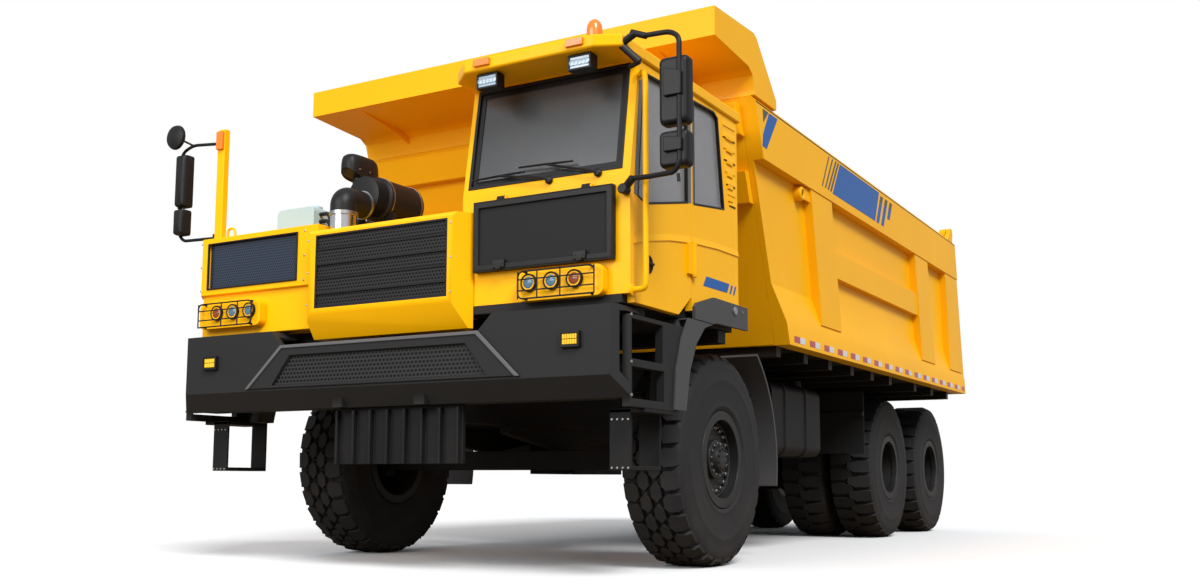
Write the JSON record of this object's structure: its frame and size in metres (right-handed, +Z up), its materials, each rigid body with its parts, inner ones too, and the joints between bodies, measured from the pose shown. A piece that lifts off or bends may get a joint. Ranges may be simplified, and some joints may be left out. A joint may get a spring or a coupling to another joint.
{
  "type": "rigid off-highway dump truck",
  "caption": "Yellow rigid off-highway dump truck with an offset cab, a tipping bed with a canopy over the cab, a top-hung tailgate, steered front wheels and twin rear wheels",
  "frame": {"origin": "on the ground below the middle of the overall length and of the frame", "axes": "X to the vehicle's left, Y to its rear, Z up"},
  "size_m": [4.885, 10.2759, 4.245],
  "materials": {
    "yellow_paint": "gloss",
    "dark_grey_paint": "satin",
    "black_paint": "satin",
    "rim_paint": "satin",
    "tyre_rubber": "matte",
    "glass": "gloss",
    "seat_fabric": "matte",
    "black_plastic": "matte",
    "lamp_plastic": "gloss",
    "tank_plastic": "satin",
    "rod_chrome": "polished",
    "barrel_paint": "satin"
  },
  "bodies": {
    "chassis": {"frame_rails": "black_paint", "cross_members": "black_paint", "outriggers": "black_paint", "hoist_mount": "black_paint", "bumper": "dark_grey_paint", "front_guard": "black_paint", "ladders": "black_paint", "powertrain": "black_paint", "hood": "yellow_paint", "grille": "black_paint", "right_box": "yellow_paint", "box_mesh": "black_paint", "cab_floor": "yellow_paint", "cab_front": "yellow_paint", "cab_rear": "yellow_paint", "cab_right_wall": "yellow_paint", "cab_quarter": "yellow_paint", "cab_roof": "yellow_paint", "cab_glass": "glass", "seat": "seat_fabric", "dashboard": "black_plastic", "headlamps": "lamp_plastic", "lamps": "lamp_plastic", "fenders": "dark_grey_paint", "mudflaps": "black_plastic", "mirrors": "black_paint", "air_cleaner": "black_paint", "header_tank": "tank_plastic", "front_axle": "black_paint", "rear_axles": "black_paint", "side_tanks": "black_paint"},
    "door": {"door": "yellow_paint", "door_glass": "glass"},
    "front_lid": {"front_lid": "black_paint"},
    "knuckle_left": {"knuckle_left": "black_paint"},
    "knuckle_right": {"knuckle_right": "black_paint"},
    "front_wheel_left": {"front_tyre_left": "tyre_rubber", "front_rim_left": "rim_paint"},
    "front_wheel_right": {"front_tyre_right": "tyre_rubber", "front_rim_right": "rim_paint"},
    "rear_wheels_1_left": {"rear_tyres_1_left": "tyre_rubber", "rear_rims_1_left": "rim_paint"},
    "rear_wheels_1_right": {"rear_tyres_1_right": "tyre_rubber", "rear_rims_1_right": "rim_paint"},
    "rear_wheels_2_left": {"rear_tyres_2_left": "tyre_rubber", "rear_rims_2_left": "rim_paint"},
    "rear_wheels_2_right": {"rear_tyres_2_right": "tyre_rubber", "rear_rims_2_right": "rim_paint"},
    "bed": {"bed_floor": "yellow_paint", "bed_front": "yellow_paint", "bed_side_left": "yellow_paint", "bed_side_right": "yellow_paint", "canopy": "yellow_paint"},
    "tailgate": {"tailgate": "yellow_paint"},
    "hoist_barrel": {"hoist_barrels": "barrel_paint"},
    "hoist_stage_one": {"hoist_stage_1": "rod_chrome"},
    "hoist_stage_two": {"hoist_stage_2": "rod_chrome"},
    "hoist_rod": {"hoist_rods": "rod_chrome"}
  },
  "joints": [
    {"name": "steer_left", "type": "hinge", "parent": "chassis", "child": "knuckle_left", "pos_m": [1.48, -3.056, 0.81], "axis": [0, 0, 1], "range_deg": [-32, 32]},
    {"name": "steer_right", "type": "hinge", "parent": "chassis", "child": "knuckle_right", "pos_m": [-1.48, -3.056, 0.81], "axis": [0, 0, 1], "range_deg": [-32, 32]},
    {"name": "spin_front_left", "type": "hinge", "parent": "knuckle_left", "child": "front_wheel_left", "pos_m": [1.584, -3.056, 0.81], "axis": [1, 0, 0], "continuous": true},
    {"name": "spin_front_right", "type": "hinge", "parent": "knuckle_right", "child": "front_wheel_right", "pos_m": [-1.584, -3.056, 0.81], "axis": [1, 0, 0], "continuous": true},
    {"name": "spin_rear_1_left", "type": "hinge", "parent": "chassis", "child": "rear_wheels_1_left", "pos_m": [1.009, 2.438, 0.81], "axis": [1, 0, 0], "continuous": true},
    {"name": "spin_rear_1_right", "type": "hinge", "parent": "chassis", "child": "rear_wheels_1_right", "pos_m": [-1.009, 2.438, 0.81], "axis": [1, 0, 0], "continuous": true},
    {"name": "spin_rear_2_left", "type": "hinge", "parent": "chassis", "child": "rear_wheels_2_left", "pos_m": [1.009, 4.328, 0.81], "axis": [1, 0, 0], "continuous": true},
    {"name": "spin_rear_2_right", "type": "hinge", "parent": "chassis", "child": "rear_wheels_2_right", "pos_m": [-1.009, 4.328, 0.81], "axis": [1, 0, 0], "continuous": true},
    {"name": "door_swing", "type": "hinge", "parent": "chassis", "child": "door", "pos_m": [2.022, -3.983, 2.19], "axis": [0, 0, 1], "range_deg": [0, 70]},
    {"name": "lid_lift", "type": "hinge", "parent": "chassis", "child": "front_lid", "pos_m": [1.354, -4.918, 2.556], "axis": [-1, 0, 0], "range_deg": [0, 80]},
    {"name": "dump", "type": "hinge", "parent": "chassis", "child": "bed", "pos_m": [0, 4.544, 1.56], "axis": [-1, 0, 0], "range_deg": [0, 45]},
    {"name": "tailgate_swing", "type": "hinge", "parent": "bed", "child": "tailgate", "pos_m": [0, 3.944, 3.83], "axis": [1, 0, 0], "range_deg": [0, 55]},
    {"name": "hoist_swing", "type": "hinge", "parent": "chassis", "child": "hoist_barrel", "pos_m": [0, 1.794, 0.7], "axis": [-1, 0, 0], "range_deg": [0, 21.4]},
    {"name": "hoist_slide_1", "type": "slide", "parent": "hoist_barrel", "child": "hoist_stage_one", "axis": [0, -0.1005, 0.9949], "range_m": [0, 0.6955]},
    {"name": "hoist_slide_2", "type": "slide", "parent": "hoist_stage_one", "child": "hoist_stage_two", "axis": [0, -0.1005, 0.9949], "range_m": [0, 0.6955]},
    {"name": "hoist_slide_3", "type": "slide", "parent": "hoist_stage_two", "child": "hoist_rod", "axis": [0, -0.1005, 0.9949], "range_m": [0, 0.6955]}
  ],
  "couplings": [
    {"joint": "steer_right", "follows": "steer_left", "ratio": 1},
    {"joint": "hoist_swing", "follows": "dump", "ratio": 0.47413},
    {"joint": "hoist_slide_1", "follows": "dump", "m_per_rad": 0.88496},
    {"joint": "hoist_slide_2", "follows": "dump", "m_per_rad": 0.88496},
    {"joint": "hoist_slide_3", "follows": "dump", "m_per_rad": 0.88496}
  ]
}
